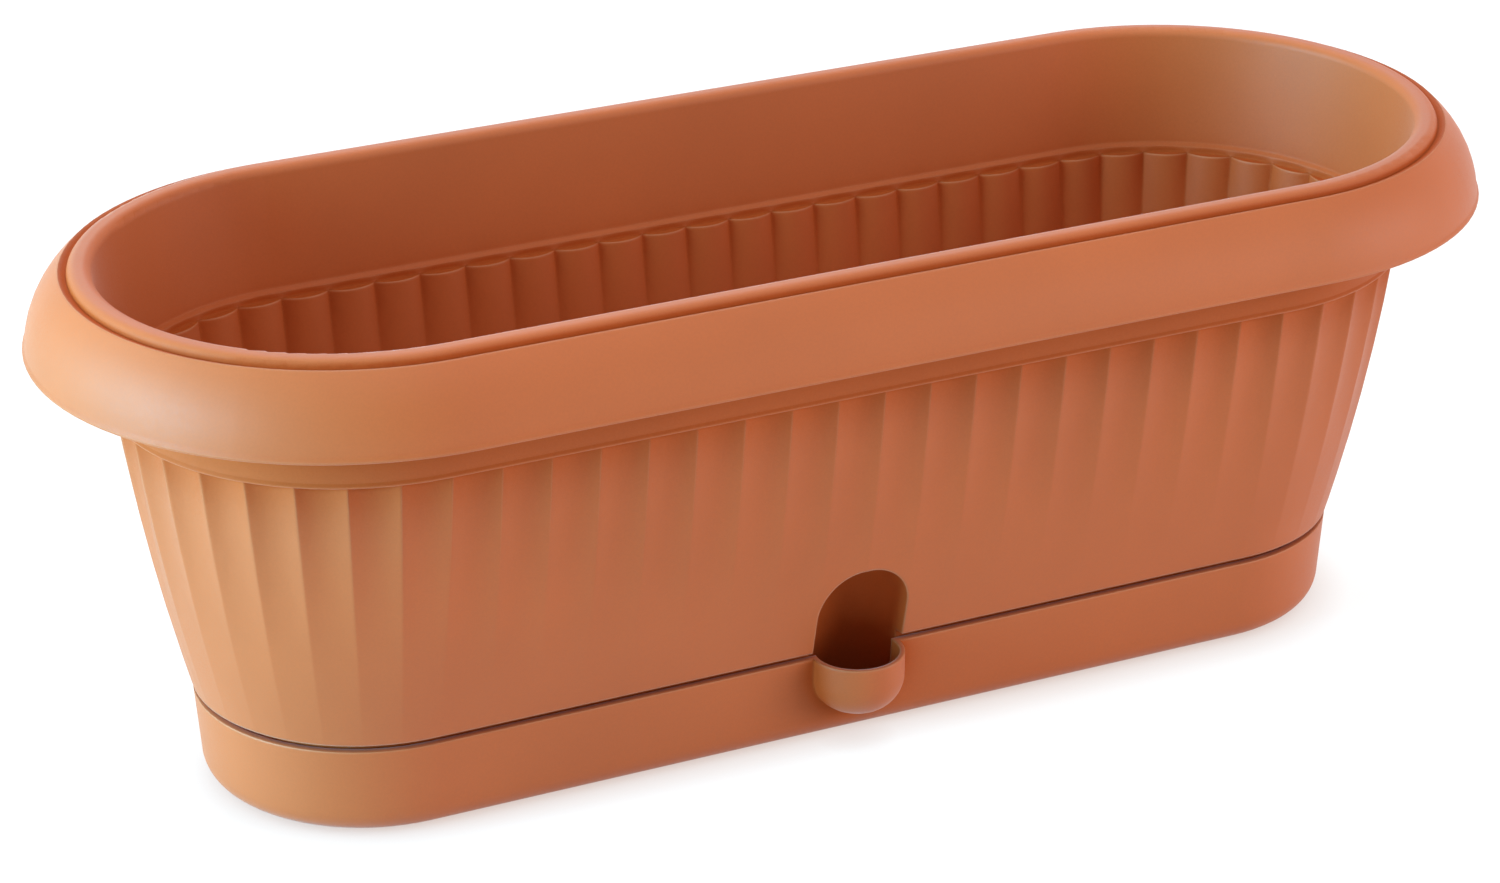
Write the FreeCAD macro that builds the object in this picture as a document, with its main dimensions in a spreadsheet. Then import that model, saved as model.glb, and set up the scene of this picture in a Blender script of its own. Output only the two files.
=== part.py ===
import FreeCAD, Part
import math
import os
import re

import Sketcher

# Oval fluted balcony trough: a planter box that stands in a drip tray, with a watering port in front.
# Millimetres, +Z up, +X along the length, the port faces -Y, the origin is on the floor under the middle.
# A radius here is the distance from the middle line, the straight line that joins the two end centres,
# so one outline of radius and height, carried round that line, gives each stadium-shaped form.

SIZES = {
    # whole object
    "overall_length": 400,
    "overall_width": 164,
    "overall_height": 141.5,
    # planter box walls
    "wall": 2,
    "floor_thickness": 2,
    "floor_rounding": 4,
    # rim: a flat lip on top, a fine groove, then a bowed skirt that hangs outwards
    "lip_width": 5.7,
    "lip_rounding": 2.4,
    "lip_drop": 1.6,
    "lip_groove": 2,
    "skirt_spread": 10,
    "skirt_drop": 19.9,
    "skirt_bow": 28,
    "skirt_rounding": 0.6,
    "skirt_bead": 0.5,
    "bead_height": 1.5,
    # smooth neck under the rim, with a ledge on its inside
    "rim_band": 37,
    "neck_taper": 4.5,
    "neck_step": 1,
    "neck_rounding": 0.6,
    "neck_bead": 0.4,
    "ledge_rise": 1.8,
    "ledge_slope": 1,
    # fluted barrel, with the depth of the flutes at its top and halfway down
    "barrel_taper": 15,
    "barrel_bow": 560,
    "flutes_per_side": 18,
    "flutes_per_end": 15,
    "flute_depth": 2.2,
    "flute_halfway": 0.65,
    # drip tray
    "tray_height": 25,
    "tray_wall": 2,
    "tray_floor": 2,
    "tray_inset": 0.3,
    "tray_taper": 1.8,
    "tray_corner": 7,
    # how the box stands in the tray
    "seam_gap": 1.9,
    "plug_gap": 0.8,
    "foot_height": 8,
    "foot_diameter": 16,
    "foot_columns": 4,
    "foot_pitch": 70,
    "foot_row": 24,
    # drain holes in the box floor
    "drain_diameter": 8,
    "drain_columns": 6,
    "drain_pitch": 40,
    "drain_row": 12,
    # watering port: a domed niche in the box, sloped like the wall, over an upright cup on the tray
    "port_radius": 13,
    "port_rise": 13,
    "cup_inset": 0.5,
    "cup_wall": 1.3,
    "cup_depth": 16.2,
    "cup_rounding": 10,
    # how far a cutting form runs past the face that it opens
    "overcut": 5,
}

# Derived radii, from the rim inwards
END_CENTRE = "((overall_length - overall_width) / 2)"
SKIRT_EDGE = "(overall_width / 2)"
SKIRT_START = f"({SKIRT_EDGE} - skirt_spread)"
LIP_OUTER = f"({SKIRT_START} - lip_groove)"
LIP_INNER = f"({LIP_OUTER} - lip_width)"
NECK_FOOT = f"({LIP_INNER} + wall - neck_taper)"
BARREL_TOP = f"({NECK_FOOT} - neck_step)"
BARREL_FOOT = f"({BARREL_TOP} - barrel_taper)"
TRAY_TOP = f"({BARREL_FOOT} - tray_inset)"
CUP_RADIUS = "(port_radius - cup_inset)"

# Derived heights, from the floor upwards
FLOOR_UNDER = "(tray_floor + foot_height)"
FLOOR_TOP = f"({FLOOR_UNDER} + floor_thickness)"
SHOULDER = "(tray_height + seam_gap)"
INNER_SHOULDER = f"({SHOULDER} + wall)"
FLUTE_TOP = "(overall_height - rim_band)"
INNER_FLUTE_TOP = f"({FLUTE_TOP} + wall)"
LEDGE_FOOT = f"({INNER_FLUTE_TOP} + ledge_rise)"
LEDGE_TOP = f"({LEDGE_FOOT} + ledge_slope)"
SKIRT_TOP = "(overall_height - lip_drop)"
SKIRT_LOW = f"({SKIRT_TOP} - skirt_drop)"

doc = FreeCAD.newDocument("balcony_trough")
sheet = doc.addObject("Spreadsheet::Sheet", "Sizes")
for row, (alias, number) in enumerate(SIZES.items(), start=1):
    sheet.set(f"A{row}", alias)
    sheet.set(f"B{row}", str(number))
    sheet.setAlias(f"B{row}", alias)
doc.recompute()


def formula(text):
    """The expression with each size name turned into its cell of the sheet."""
    return re.sub(r"[a-z_]+", lambda word: f"Sizes.{word[0]}" if word[0] in SIZES else word[0], text)


def value(text, owner=sheet):
    """The number that an expression of an object gives with the sizes as they stand."""
    result = owner.evalExpression(formula(text))
    return float(getattr(result, "Value", result))


def bind(item, prop, text):
    item.setExpression(prop, formula(text))


def arc_centre(low_radius, low, high_radius, high, bow):
    """Radius and height of the centre of an arc that bows outwards between two points of a wall."""
    run = f"({high_radius} - {low_radius})"
    rise = f"({high} - {low})"
    chord = f"sqrt({run} ^ 2 + {rise} ^ 2)"
    reach = f"sqrt({bow} ^ 2 - ({run} ^ 2 + {rise} ^ 2) / 4)"
    radius = f"(({low_radius} + {high_radius}) / 2 - {reach} * {rise} / {chord})"
    height = f"(({low} + {high}) / 2 + {reach} * {run} / {chord})"
    return radius, height


BARREL_ARC = arc_centre(BARREL_FOOT, SHOULDER, BARREL_TOP, FLUTE_TOP, "barrel_bow")
FLUTE_PITCH = f"((4 * {END_CENTRE} + 2 * pi * {BARREL_TOP}) / (2 * (flutes_per_side + flutes_per_end)))"
FLUTE_STEP = f"({FLUTE_PITCH} / {BARREL_TOP} * 180 / pi)"
PORT_LEAN = f"atan(({BARREL_ARC[1]} - {SHOULDER}) / ({BARREL_FOOT} - {BARREL_ARC[0]}))"


def barrel_radius(height):
    return f"({BARREL_ARC[0]} + sqrt(barrel_bow ^ 2 - ({height} - {BARREL_ARC[1]}) ^ 2))"


def neck_radius(height):
    return f"({NECK_FOOT} - neck_bead + neck_taper * ({height} - {FLUTE_TOP}) / rim_band)"


def tray_radius(height):
    return f"({TRAY_TOP} - tray_taper * (tray_height - {height}) / tray_height)"


def plug_radius(height):
    """The part of the box below its shoulder follows the inside of the tray."""
    return f"({tray_radius(height)} - tray_wall - plug_gap)"


def new_body(name):
    return doc.addObject("PartDesign::Body", name)


def origin_plane(body, role):
    return next(item for item in body.Origin.OriginFeatures if item.Role == role)


def new_sketch(body, name, role, offset=("0", "0", "0"), turn_axis=FreeCAD.Vector(0, 0, 1), turn="0"):
    """A sketch on an origin plane, moved and turned in the sketch's own directions."""
    sketch = body.newObject("Sketcher::SketchObject", name)
    sketch.AttachmentSupport = [(origin_plane(body, role), "")]
    sketch.MapMode = "FlatFace"
    base = FreeCAD.Vector(*(value(text) for text in offset))
    sketch.AttachmentOffset = FreeCAD.Placement(base, FreeCAD.Rotation(turn_axis, value(turn)))
    for axis, text in zip("xyz", offset):
        bind(sketch, f"AttachmentOffset.Base.{axis}", text)
    if turn != "0":
        bind(sketch, "AttachmentOffset.Rotation.Angle", turn)
    return sketch


def point_ties(sketch, geometry, corner, across, up):
    """What ties one end of a line, or the centre of a circle, to two expressions."""
    ties = []
    for kind, axis, text in (("DistanceX", -2, across), ("DistanceY", -1, up)):
        if text == "0":
            ties.append((Sketcher.Constraint("PointOnObject", geometry, corner, axis), text))
        else:
            length = value(text, sketch)
            ties.append((Sketcher.Constraint(kind, -1, 1, geometry, corner, length), text))
    return ties


def add_ties(sketch, ties):
    """Adds constraints, each with the expression that it follows; a 0 stands for none."""
    first = sketch.ConstraintCount
    sketch.addConstraint([constraint for constraint, text in ties])
    for index, (constraint, text) in enumerate(ties, start=first):
        if text != "0":
            bind(sketch, f"Constraints[{index}]", text)


def arc_between(start, end, bow):
    """An arc that turns left for a positive bow radius and right for a negative one."""
    first, last = (start, end) if bow > 0 else (end, start)
    chord = last - first
    left = FreeCAD.Vector(-chord.y, chord.x, 0).normalize()
    reach = math.sqrt(bow ** 2 - chord.Length ** 2 / 4)
    centre = first + chord / 2 + left * reach
    angles = [math.atan2(point.y - centre.y, point.x - centre.x) for point in (first, last)]
    return Part.ArcOfCircle(Part.Circle(centre, FreeCAD.Vector(0, 0, 1), abs(bow)), *angles)


def draw_outline(sketch, outline):
    """A closed outline of (across, up, bow) corners; the bow curves the edge to the next corner."""
    points = [FreeCAD.Vector(value(across, sketch), value(up, sketch), 0) for across, up, bow in outline]
    bows = [value(bow, sketch) for across, up, bow in outline]
    edges = []
    for index, bow in enumerate(bows):
        start, end = points[index], points[(index + 1) % len(points)]
        edges.append(arc_between(start, end, bow) if bow else Part.LineSegment(start, end))
    sketch.addGeometry(edges, False)
    ends = [(2, 1) if bow < 0 else (1, 2) for bow in bows]
    ties = []
    for index, (across, up, bow) in enumerate(outline):
        following = (index + 1) % len(outline)
        joint = Sketcher.Constraint("Coincident", index, ends[index][1], following, ends[following][0])
        ties.append((joint, "0"))
        ties += point_ties(sketch, index, ends[index][0], across, up)
        if bow != "0":
            ties.append((Sketcher.Constraint("Radius", index, abs(bows[index])), f"abs({bow})"))
    add_ties(sketch, ties)


def draw_circle(sketch, across, up, radius):
    centre = FreeCAD.Vector(value(across), value(up), 0)
    index = sketch.addGeometry(Part.Circle(centre, FreeCAD.Vector(0, 0, 1), value(radius)), False)
    size = Sketcher.Constraint("Radius", index, value(radius))
    add_ties(sketch, point_ties(sketch, index, 3, across, up) + [(size, radius)])


def both_sides(outline):
    """The outline of one side, closed by its mirror image across the middle line."""
    bows = ["0"] + [bow for across, up, bow in outline[:-1]]
    mirrored = [(f"-({across})", up, bow) for (across, up, _), bow in zip(outline, bows)]
    return outline + mirrored[::-1]


def stadium(body, name, outline):
    """A form with straight sides and half-round ends, from the outline of its side, bottom to top."""
    side = new_sketch(body, f"{name}_side_outline", "YZ_Plane")
    draw_outline(side, both_sides(outline))
    straight = body.newObject("PartDesign::Pad", f"{name}_straight")
    straight.Profile = side
    straight.SideType = "Symmetric"
    bind(straight, "Length", f"2 * {END_CENTRE}")

    end = new_sketch(body, f"{name}_end_outline", "XZ_Plane", (END_CENTRE, "0", "0"))
    draw_outline(end, outline + [("0", outline[-1][1], "0"), ("0", outline[0][1], "0")])
    round_end = body.newObject("PartDesign::Revolution", f"{name}_round_end")
    round_end.Profile = end
    round_end.ReferenceAxis = (end, ["V_Axis"])
    round_end.Midplane = True
    round_end.Angle = 180

    other_end = body.newObject("PartDesign::Mirrored", f"{name}_other_end")
    other_end.Originals = [round_end]
    other_end.MirrorPlane = (origin_plane(body, "YZ_Plane"), [""])
    body.Tip = other_end


def turned(body, name, kind, outline, lean="0"):
    """A form turned about the axis of the watering port, which starts at the top edge of the tray."""
    seat = ("0", "tray_height", TRAY_TOP)
    sketch = new_sketch(body, f"{name}_outline", "XZ_Plane", seat, FreeCAD.Vector(1, 0, 0), lean)
    draw_outline(sketch, outline)
    form = body.newObject(f"PartDesign::{kind}", name)
    form.Profile = sketch
    form.ReferenceAxis = (sketch, ["V_Axis"])
    form.Angle = 360
    body.Tip = form


def niche_outline(radius):
    """A shaft from below the floor up to a round dome."""
    low = "(-tray_height - overcut)"
    top = f"(port_rise + {radius})"
    return [("0", low, "0"), (radius, low, "0"), (radius, "port_rise", radius), ("0", top, "0")]


def cup_outline(radius, bottom, rounding, top):
    """A cup with straight sides and a rounded foot."""
    return [
        ("0", bottom, "0"),
        (f"({radius} - {rounding})", bottom, rounding),
        (radius, f"({bottom} + {rounding})", "0"),
        (radius, top, "0"),
        ("0", top, "0"),
    ]


def studs(body, name, diameter, columns, pitch, row, low, length):
    """Two rows of upright round studs along the length."""
    sketch = new_sketch(body, f"{name}_outline", "XY_Plane", ("0", "0", low))
    for side in (row, f"-{row}"):
        draw_circle(sketch, f"-({columns} - 1) / 2 * {pitch}", side, f"{diameter} / 2")
    first = body.newObject("PartDesign::Pad", f"{name}_first")
    first.Profile = sketch
    bind(first, "Length", length)
    columns_of_studs = body.newObject("PartDesign::LinearPattern", f"{name}_columns")
    columns_of_studs.Originals = [first]
    columns_of_studs.Direction = (sketch, ["H_Axis"])
    bind(columns_of_studs, "Length", f"({columns} - 1) * {pitch}")
    bind(columns_of_studs, "Occurrences", columns)
    body.Tip = columns_of_studs


def ring_outline(depth):
    """A quarter of a level section of the barrel: sharp arrises with a hollow of one depth between them."""
    side_hollow = "0" if depth == "0" else "-(FlutePitch ^ 2 / 4 + HollowDepth ^ 2) / (2 * HollowDepth)"
    half_chord = "(RingRadius * sin(FluteStep / 2))"
    end_depth = "(HollowDepth - RingRadius * (1 - cos(FluteStep / 2)))"
    end_hollow = f"-({half_chord} ^ 2 + {end_depth} ^ 2) / (2 * {end_depth})"
    per_side, per_end = SIZES["flutes_per_side"], SIZES["flutes_per_end"]
    side_middle, end_middle = (
        "(RingRadius - HollowDepth)" if count % 2 else "RingRadius" for count in (per_side, per_end)
    )
    outline = [("0", "0", "0"), ("0", f"(-{side_middle})", side_hollow)]
    for arris in range(per_side // 2 + 1, per_side):
        outline.append((f"(({arris} - flutes_per_side / 2) * FlutePitch)", "(-RingRadius)", side_hollow))
    for arris in range((per_end + 1) // 2):
        facing = f"(({arris} - flutes_per_end / 2) * FluteStep)"
        across = f"({END_CENTRE} + RingRadius * cos{facing})"
        outline.append((across, f"(RingRadius * sin{facing})", end_hollow))
    outline.append((f"({END_CENTRE} + {end_middle})", "0", "0"))
    return outline


def fluted(body, name, low, high, inset):
    """The fluted barrel from foot to top, set back by an inset; the flutes fade out towards its foot."""
    rings = []
    halfway = f"(({low} + {high}) / 2)"
    levels = [("foot", low, "0"), ("middle", halfway, "flute_halfway"), ("top", high, "flute_depth")]
    for place, height, depth in levels:
        sketch = new_sketch(body, f"{name}_{place}_ring", "XY_Plane", ("0", "0", height))
        ring_sizes = {
            "RingRadius": f"({barrel_radius(height)} - {inset})",
            "HollowDepth": depth,
            "FlutePitch": FLUTE_PITCH,
            "FluteStep": FLUTE_STEP,
        }
        for prop, text in ring_sizes.items():
            sketch.addProperty("App::PropertyFloat", prop, "Ring")
            setattr(sketch, prop, value(text))
            bind(sketch, prop, text)
        draw_outline(sketch, ring_outline(depth))
        rings.append(sketch)
    quarter = body.newObject("PartDesign::AdditiveLoft", f"{name}_quarter")
    quarter.Profile = rings[0]
    quarter.Sections = rings[1:]
    mirrors = []
    for role in ("XZ_Plane", "YZ_Plane"):
        mirror = body.newObject("PartDesign::Mirrored", f"{name}_{role}_mirror")
        mirror.MirrorPlane = (origin_plane(body, role), [""])
        mirrors.append(mirror)
    whole = body.newObject("PartDesign::MultiTransform", name)
    whole.Originals = [quarter]
    whole.Transformations = mirrors
    body.Tip = whole


def hollowed(name, outside, inside):
    """One moulding: the outside form with the inside form taken out."""
    moulding = doc.addObject("Part::Cut", name)
    moulding.Base = outside
    moulding.Tool = inside
    moulding.Label = name
    return moulding


def planter_outside():
    body = new_body("planter_outside")
    lower_corner = f"({FLOOR_UNDER} + floor_rounding)"
    stadium(body, "plug", [
        (f"({plug_radius(lower_corner)} - floor_rounding)", FLOOR_UNDER, "floor_rounding"),
        (plug_radius(lower_corner), lower_corner, "0"),
        (plug_radius(SHOULDER), SHOULDER, "0"),
    ])
    fluted(body, "barrel", SHOULDER, FLUTE_TOP, "0")
    lip_low = "(overall_height - lip_rounding)"
    lip_under = f"({lip_low} - wall)"
    neck_bead_top = f"({FLUTE_TOP} + bead_height)"
    stadium(body, "rim", [
        (f"({NECK_FOOT} - neck_rounding)", FLUTE_TOP, "neck_rounding"),
        (NECK_FOOT, f"({FLUTE_TOP} + neck_rounding)", "0"),
        (neck_radius(neck_bead_top), neck_bead_top, "0"),
        (neck_radius(lip_under), lip_under, "0"),
        (SKIRT_START, lip_under, "(wall - skirt_bow)"),
        (f"({SKIRT_EDGE} - wall)", SKIRT_LOW, "0"),
        (f"({SKIRT_EDGE} - skirt_rounding)", SKIRT_LOW, "skirt_rounding"),
        (SKIRT_EDGE, f"({SKIRT_LOW} + skirt_rounding)", "0"),
        (f"({SKIRT_EDGE} - skirt_bead)", f"({SKIRT_LOW} + bead_height)", "skirt_bow"),
        (SKIRT_START, SKIRT_TOP, "0"),
        (LIP_OUTER, lip_low, "lip_rounding"),
        (f"({LIP_OUTER} - lip_rounding)", "overall_height", "0"),
    ])
    studs(
        body, "feet", "foot_diameter", "foot_columns", "foot_pitch", "foot_row", "tray_floor", "foot_height"
    )
    turned(body, "port_niche", "Groove", niche_outline("port_radius"), PORT_LEAN)
    return body


def planter_inside():
    body = new_body("planter_inside")
    lower_corner = f"({FLOOR_TOP} + floor_rounding)"
    stadium(body, "plug_space", [
        (f"({plug_radius(lower_corner)} - wall - floor_rounding)", FLOOR_TOP, "floor_rounding"),
        (f"({plug_radius(lower_corner)} - wall)", lower_corner, "0"),
        (f"({plug_radius(INNER_SHOULDER)} - wall)", INNER_SHOULDER, "0"),
    ])
    fluted(body, "barrel_space", INNER_SHOULDER, INNER_FLUTE_TOP, "wall")
    lip_low = "(overall_height - lip_rounding)"
    lip_edge = f"({neck_radius(lip_low)} - wall + lip_rounding)"
    above = "(overall_height + overcut)"
    stadium(body, "mouth", [
        (f"({barrel_radius(INNER_FLUTE_TOP)} - wall)", INNER_FLUTE_TOP, "0"),
        (f"({barrel_radius(INNER_FLUTE_TOP)} - wall)", LEDGE_FOOT, "0"),
        (f"({neck_radius(LEDGE_TOP)} - wall)", LEDGE_TOP, "0"),
        (f"({neck_radius(lip_low)} - wall)", lip_low, "-lip_rounding"),
        (lip_edge, "overall_height", "0"),
        (lip_edge, above, "0"),
    ])
    turned(body, "port_wall", "Groove", niche_outline("(port_radius + wall)"), PORT_LEAN)
    studs(
        body, "drains", "drain_diameter", "drain_columns", "drain_pitch", "drain_row",
        "(tray_floor - overcut)", f"({FLOOR_TOP} - tray_floor + 2 * overcut)",
    )
    return body


def tray_outside():
    body = new_body("tray_outside")
    stadium(body, "tray_form", [
        (f"({tray_radius('tray_corner')} - tray_corner)", "0", "tray_corner"),
        (tray_radius("tray_corner"), "tray_corner", "0"),
        (TRAY_TOP, "tray_height", "0"),
    ])
    turned(body, "cup", "Revolution", cup_outline(CUP_RADIUS, "(-cup_depth)", "cup_rounding", "0"))
    return body


def tray_inside():
    body = new_body("tray_inside")
    inner_corner = "(tray_corner - tray_wall)"
    corner_top = f"(tray_floor + {inner_corner})"
    above = "(tray_height + overcut)"
    stadium(body, "water_space", [
        (f"({tray_radius(corner_top)} - tray_wall - {inner_corner})", "tray_floor", inner_corner),
        (f"({tray_radius(corner_top)} - tray_wall)", corner_top, "0"),
        (f"({tray_radius(above)} - tray_wall)", above, "0"),
    ])
    cup_floor = "(cup_wall - cup_depth)"
    cup_corner = "(cup_rounding - cup_wall)"
    turned(
        body, "cup_space", "Revolution",
        cup_outline(f"({CUP_RADIUS} - cup_wall)", cup_floor, cup_corner, "overcut"),
    )
    return body


def main():
    mouldings = [
        hollowed("planter_box", planter_outside(), planter_inside()),
        hollowed("drip_tray", tray_outside(), tray_inside()),
    ]
    doc.recompute()
    for item in doc.Objects:
        if "Invalid" in item.State or "Error" in item.State:
            raise RuntimeError(f"{item.Label} did not build: {item.State}")
    for moulding in mouldings:
        if moulding.Shape.isNull() or not moulding.Shape.isValid():
            raise RuntimeError(f"{moulding.Label} has no valid shape")
    os.makedirs("parts", exist_ok=True)
    for moulding in mouldings:
        moulding.Shape.exportStep(f"parts/{moulding.Label}.step")
        print(moulding.Label, len(moulding.Shape.Solids), "solid,", round(moulding.Shape.Volume), "mm3")


main()
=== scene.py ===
from math import cos, radians, sin

import bpy
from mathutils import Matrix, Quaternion, Vector

# Camera: place in metres, angles in degrees, lens and sensor in millimetres.
CAMERA_PLACE = (-0.4576, -0.9462, 0.5385)
CAMERA_AZIMUTH = -25.37
CAMERA_ELEVATION = 24.2
CAMERA_ROLL = -0.32
CAMERA_LENS = 104.3
SENSOR_WIDTH = 36

# Colours of the plastic, linear: as moulded, paler at the edges as wear and painted highlight, and the
# painted shade that multiplies it under the rim and in corners.
PIGMENT = (0.488, 0.107, 0.0235, 1)
# Painted highlight and wear: the paler colour on outer edges.
EDGE_WEAR_AND_HIGHLIGHT = (0.60, 0.25, 0.12, 1)
EDGE_WEAR_AND_HIGHLIGHT_SHARE = 0.6
# Painted shade: multiplied into the pigment under the rim and in corners.
PAINTED_SHADE_TINT = (0.88, 0.74, 0.68, 1)

# Patterns in the plastic: cells to the metre and layers of detail, and the stretch of the noise that is used.
CLOUDS = (18, 4)
SPECKS = (1500, 2)
RIPPLE = (45, 2)
GRAIN = (3200, 3)
NOISE_SPAN = (0.3, 0.7)
CLOUD_SHADES = (0.95, 1.05)
SPECK_SHADES = (0.97, 1.03)

# Relief of the plastic, in metres, with the share of each bump that shows.
EDGE_RADIUS = 0.0012
RIPPLE_HEIGHT = 0.001
RIPPLE_SHARE = 0.15
GRAIN_HEIGHT = 0.00006
GRAIN_SHARE = 0.25

# Gloss of the plastic: roughness between the specks, and gloss and sheen on open faces and in the painted
# shade under the rim and in corners, where less reflection is painted.
ROUGHNESS = (0.5, 0.6)
REFRACTION = 1.49
GLOSS = (0.4, 0.05)
SHEEN = (0.2, 0)
SHEEN_ROUGHNESS = 0.4

# Where the plastic is paler at the edges (wear and painted highlight) or in painted shade: reaches in metres,
# and the openness or turn at which each sets in.
CREVICE_REACH = 0.006
CREVICE_TO_OPEN = (0.75, 1.0)
FLAT_TO_EDGE = (0.99, 0.8)
PAINTED_SHADE_REACH = 0.04
OPEN_TO_PAINTED_SHADE = (0.94, 0.82)

# Studio: what the paper and the air add to the light, and the shadow painted on the paper beside the object.
WHITE = (1, 1, 1, 1)
PAPER_TONE = (0.2, 0.2, 0.2, 1)
PAPER_GLOW = 0.88
PAPER_BOUNCE = (0.8, 0.8, 0.8, 1)
PAPER_SIZE = 12
PAPER_DROP = 0.0003
CONTACT_SHADE = (0.73, 0.61, 0.56, 1)
CONTACT_REACH = 0.011
AIR_LIGHT = 0.34

# Lamps: name, place and width in metres, power in watts, colour. The light from the left is cool.
SKY = (0.28, 0.78, 1)
WINDOW = (0.27, 0.74, 1)
DAYLIGHT = (0.82, 0.96, 1)
NEUTRAL = (1, 1, 1)
LAMP_AIM = (-0.05, 0, 0.08)
LAMPS = [
    ("key", (-1.7, 0.7, 0.5), 0.9, 25, SKY),
    ("side", (-1.7, -0.06, 0.36), 0.7, 58, WINDOW),
    ("top", (0.1, -0.8, 2.0), 1.6, 12, DAYLIGHT),
    ("fill", (1.35, -1.05, 0.46), 0.9, 15, NEUTRAL),
    ("upper", (-1.3, 0.4, 1.1), 1.2, 8, NEUTRAL),
    ("back", (0.2, 0.9, 1.6), 1.0, 13, NEUTRAL),
]


def add_node(tree, kind, inputs=None, **settings):
    """A node with its inputs linked, where a socket is given, or else set."""
    made = tree.nodes.new(kind)
    for name, value in settings.items():
        setattr(made, name, value)
    for name, value in (inputs or {}).items():
        if isinstance(value, bpy.types.NodeSocket):
            tree.links.new(value, made.inputs[name])
        else:
            made.inputs[name].default_value = value
    return made


def new_material(name):
    """An empty node material and its tree."""
    material = bpy.data.materials.new(name)
    material.use_nodes = True
    material.node_tree.nodes.clear()
    return material, material.node_tree


def noise(tree, place, scale, detail):
    """Even noise from 0 to 1 with that many cells to the metre."""
    made = add_node(tree, "ShaderNodeTexNoise", {"Vector": place, "Scale": scale, "Detail": detail})
    return made.outputs["Fac"]


def spread(tree, value, start, end, low=0.0, high=1.0):
    """The value's stretch from start to end, laid out from low to high."""
    made = add_node(
        tree,
        "ShaderNodeMapRange",
        {"Value": value, "From Min": start, "From Max": end, "To Min": low, "To Max": high},
    )
    return made.outputs["Result"]


def arithmetic(tree, operation, first, second):
    """One sum on two numbers."""
    return add_node(tree, "ShaderNodeMath", {0: first, 1: second}, operation=operation).outputs[0]


def mix(tree, share, first, second, how="MIX"):
    """Two colours mixed, or the first multiplied by the second, in that share."""
    made = add_node(
        tree,
        "ShaderNodeMixRGB",
        {"Fac": share, "Color1": first, "Color2": second},
        blend_type=how,
    )
    return made.outputs["Color"]


def open_sky(tree, reach, samples, own_shape_only=False):
    """How open a place is, from 0 deep in a crevice to 1 on a free face, as far as the reach goes."""
    made = add_node(
        tree,
        "ShaderNodeAmbientOcclusion",
        {"Distance": reach},
        samples=samples,
        only_local=own_shape_only,
    )
    return made.outputs["AO"]


def bump(tree, height, rise, share, normal):
    """The normal with a fine relief on it."""
    made = add_node(
        tree,
        "ShaderNodeBump",
        {"Strength": share, "Distance": rise, "Height": height, "Normal": normal},
    )
    return made.outputs["Normal"]


def edge_wear_and_highlight(tree, soft_normal):
    """1 on outer edges, painted paler as wear and as painted highlight, and 0 on flat faces and in corners.
    """
    facing = add_node(tree, "ShaderNodeNewGeometry").outputs["Normal"]
    turn = add_node(tree, "ShaderNodeVectorMath", {0: soft_normal, 1: facing}, operation="DOT_PRODUCT")
    edge = spread(tree, turn.outputs["Value"], *FLAT_TO_EDGE)
    outer = spread(tree, open_sky(tree, CREVICE_REACH, 4), *CREVICE_TO_OPEN)
    return arithmetic(tree, "MULTIPLY", edge, outer)


def painted_shade(tree):
    """From 0 on open faces to 1 under the rim and in corners, where painted shade darkens the plastic and
    dulls its gloss.
    """
    openness = open_sky(tree, PAINTED_SHADE_REACH, 8, own_shape_only=True)
    return spread(tree, openness, *OPEN_TO_PAINTED_SHADE)


def plastic_colour(tree, place, specks, painted_shade_share, soft_normal):
    """Pigment that is clouded and specked, darkened by painted shade under the rim and in corners, and paler
    on edges as wear and painted highlight.
    """
    clouded = spread(tree, noise(tree, place, *CLOUDS), *NOISE_SPAN, *CLOUD_SHADES)
    specked = spread(tree, specks, *NOISE_SPAN, *SPECK_SHADES)
    mottled = arithmetic(tree, "MULTIPLY", clouded, specked)
    pigment = add_node(tree, "ShaderNodeHueSaturation", {"Value": mottled, "Color": PIGMENT})
    # Painted shade: the pigment is multiplied darker and redder under the rim and in corners.
    shade_painted = mix(tree, painted_shade_share, pigment.outputs["Color"], PAINTED_SHADE_TINT, "MULTIPLY")
    # Painted highlight and wear: outer edges are mixed towards a paler colour.
    edge_highlight_share = spread(tree, edge_wear_and_highlight(tree, soft_normal), 0, 1, 0, EDGE_WEAR_AND_HIGHLIGHT_SHARE)
    return mix(tree, edge_highlight_share, shade_painted, EDGE_WEAR_AND_HIGHLIGHT)


def plastic_relief(tree, place, soft_normal):
    """Slight ripple of the moulded wall, with the fine grain of the mould on it."""
    rippled = bump(tree, noise(tree, place, *RIPPLE), RIPPLE_HEIGHT, RIPPLE_SHARE, soft_normal)
    return bump(tree, noise(tree, place, *GRAIN), GRAIN_HEIGHT, GRAIN_SHARE, rippled)


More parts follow.
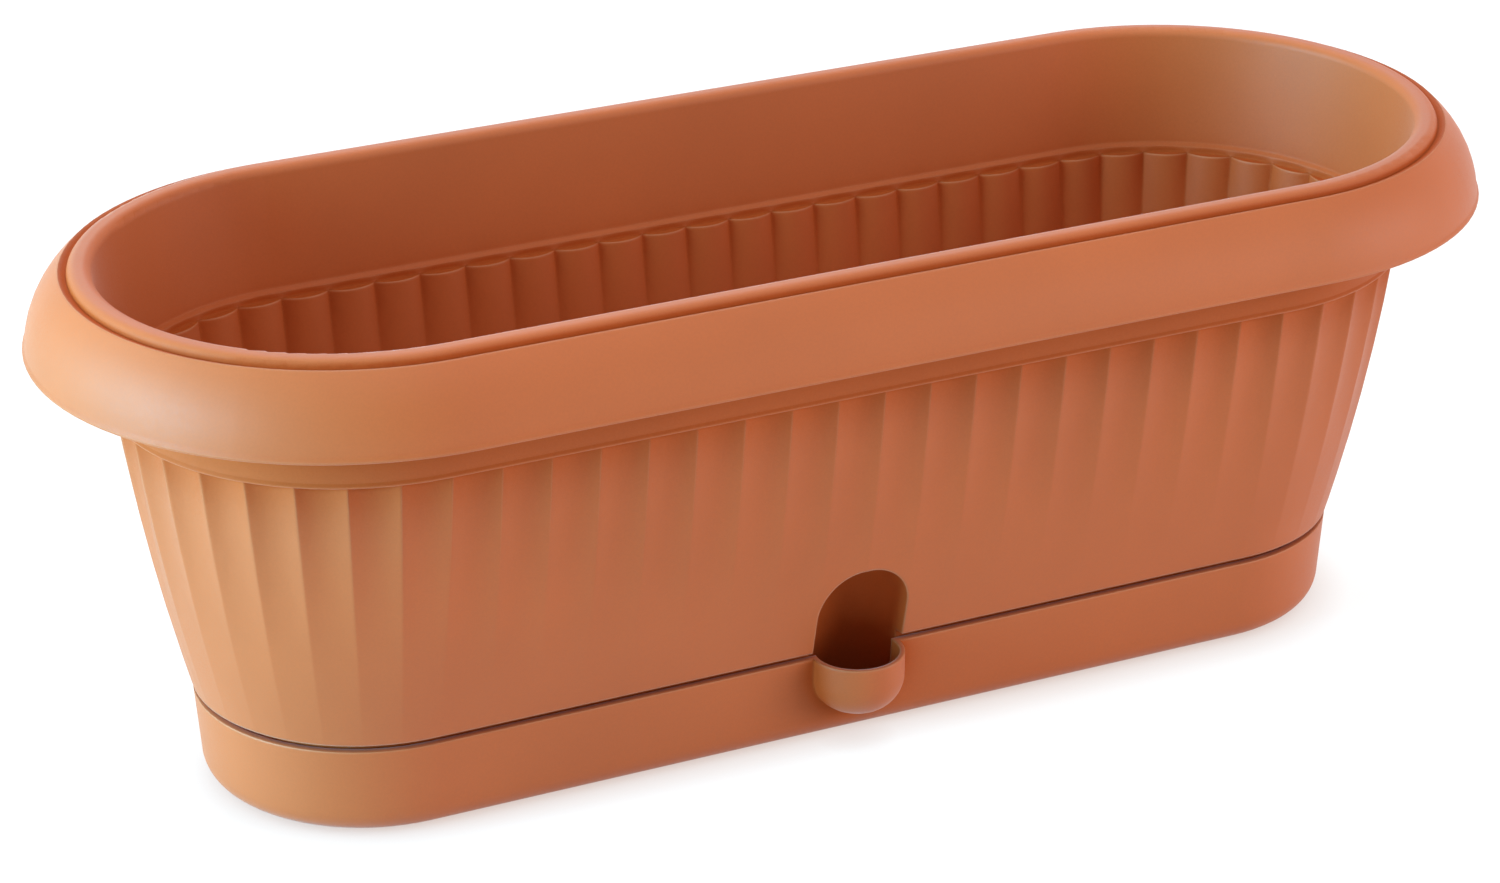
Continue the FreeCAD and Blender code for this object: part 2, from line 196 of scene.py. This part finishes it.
def moulded_plastic():
    """Satin terracotta polypropylene: clouded pigment, fine mould grain, softened edges painted paler as wear
    and highlight, and painted shade under the rim and in corners.
    """
    material, tree = new_material("terracotta_plastic_moulded")
    place = add_node(tree, "ShaderNodeTexCoord").outputs["Object"]
    specks = noise(tree, place, *SPECKS)
    painted_shade_share = painted_shade(tree)
    soft_normal = add_node(tree, "ShaderNodeBevel", {"Radius": EDGE_RADIUS}, samples=8).outputs["Normal"]
    shader = add_node(
        tree,
        "ShaderNodeBsdfPrincipled",
        {
            "Base Color": plastic_colour(tree, place, specks, painted_shade_share, soft_normal),
            "Roughness": spread(tree, specks, *NOISE_SPAN, *ROUGHNESS),
            "IOR": REFRACTION,
            # Painted shade: gloss and sheen fall under the rim and in corners.
            "Specular IOR Level": spread(tree, painted_shade_share, 0, 1, *GLOSS),
            "Sheen Weight": spread(tree, painted_shade_share, 0, 1, *SHEEN),
            "Sheen Roughness": SHEEN_ROUGHNESS,
            "Normal": plastic_relief(tree, place, soft_normal),
        },
    )
    add_node(tree, "ShaderNodeOutputMaterial", {"Surface": shader.outputs["BSDF"]})
    return material


def direct_look(tree):
    """1 where the camera sees a surface, itself or in a reflection, and 0 for the light that it passes on."""
    path = add_node(tree, "ShaderNodeLightPath")
    seen = arithmetic(tree, "ADD", path.outputs["Is Camera Ray"], path.outputs["Is Glossy Ray"])
    seen = arithmetic(tree, "ADD", seen, path.outputs["Is Transmission Ray"])
    return arithmetic(tree, "MINIMUM", seen, 1)


def studio_paper():
    """White paper that glows to the camera, so that it shows white, and still takes the object's shadow, with
    a painted contact shadow beside it.
    """
    material, tree = new_material("studio_paper")
    matt = add_node(tree, "ShaderNodeBsdfDiffuse", {"Color": PAPER_TONE})
    # Painted shadow: the paper's glow is darkened and warmed close to the object.
    shade = mix(tree, open_sky(tree, CONTACT_REACH, 16), CONTACT_SHADE, WHITE)
    glow = add_node(tree, "ShaderNodeEmission", {"Color": shade, "Strength": PAPER_GLOW})
    seen = add_node(tree, "ShaderNodeAddShader", {0: matt.outputs[0], 1: glow.outputs[0]})
    bounce = add_node(tree, "ShaderNodeBsdfDiffuse", {"Color": PAPER_BOUNCE})
    mixed = add_node(
        tree,
        "ShaderNodeMixShader",
        {"Fac": direct_look(tree), 1: bounce.outputs[0], 2: seen.outputs[0]},
    )
    add_node(tree, "ShaderNodeOutputMaterial", {"Surface": mixed.outputs[0]})
    return material


def add_floor():
    """The sheet of paper that the tray stands on."""
    bpy.ops.mesh.primitive_plane_add(size=PAPER_SIZE, location=(0, 0, -PAPER_DROP))
    floor = bpy.context.object
    floor.name = "studio_floor"
    floor.data.materials.append(studio_paper())


def add_air():
    """Even light from all round, behind which the camera sees white."""
    world = bpy.data.worlds.new("studio_air")
    bpy.context.scene.world = world
    world.use_nodes = True
    tree = world.node_tree
    tree.nodes.clear()
    strength = spread(tree, direct_look(tree), 0, 1, AIR_LIGHT, 1)
    air = add_node(tree, "ShaderNodeBackground", {"Color": WHITE, "Strength": strength})
    add_node(tree, "ShaderNodeOutputWorld", {"Surface": air.outputs[0]})


def add_lamp(name, place, width, power, colour):
    """A square soft box that faces the object."""
    light = bpy.data.lights.new(name, "AREA")
    light.size = width
    light.energy = power
    light.color = colour
    lamp = bpy.data.objects.new(name, light)
    bpy.context.scene.collection.objects.link(lamp)
    lamp.location = place
    lamp.rotation_mode = "QUATERNION"
    lamp.rotation_quaternion = (Vector(LAMP_AIM) - Vector(place)).to_track_quat("-Z", "Y")


def add_camera():
    """The camera at the photograph's place and angle."""
    camera = bpy.data.objects.new("camera", bpy.data.cameras.new("camera"))
    bpy.context.scene.collection.objects.link(camera)
    azimuth = radians(CAMERA_AZIMUTH)
    elevation = radians(CAMERA_ELEVATION)
    back = Vector((sin(azimuth) * cos(elevation), -cos(azimuth) * cos(elevation), sin(elevation)))
    camera.location = CAMERA_PLACE
    camera.rotation_mode = "QUATERNION"
    roll = Quaternion((0, 0, 1), radians(CAMERA_ROLL))
    camera.rotation_quaternion = (-back).to_track_quat("-Z", "Y") @ roll
    camera.data.lens = CAMERA_LENS
    camera.data.sensor_width = SENSOR_WIDTH
    bpy.context.scene.camera = camera


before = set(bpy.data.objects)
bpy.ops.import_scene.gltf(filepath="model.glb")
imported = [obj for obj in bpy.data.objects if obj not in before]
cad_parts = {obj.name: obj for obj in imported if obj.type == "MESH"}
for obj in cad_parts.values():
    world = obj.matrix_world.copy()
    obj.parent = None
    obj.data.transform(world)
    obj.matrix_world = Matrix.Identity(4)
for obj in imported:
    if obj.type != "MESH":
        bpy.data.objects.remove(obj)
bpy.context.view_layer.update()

plastic = moulded_plastic()
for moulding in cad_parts.values():
    moulding.data.materials.clear()
    moulding.data.materials.append(plastic)

add_floor()
add_air()
for lamp in LAMPS:
    add_lamp(*lamp)
add_camera()
bpy.context.scene.view_settings.view_transform = "Standard"
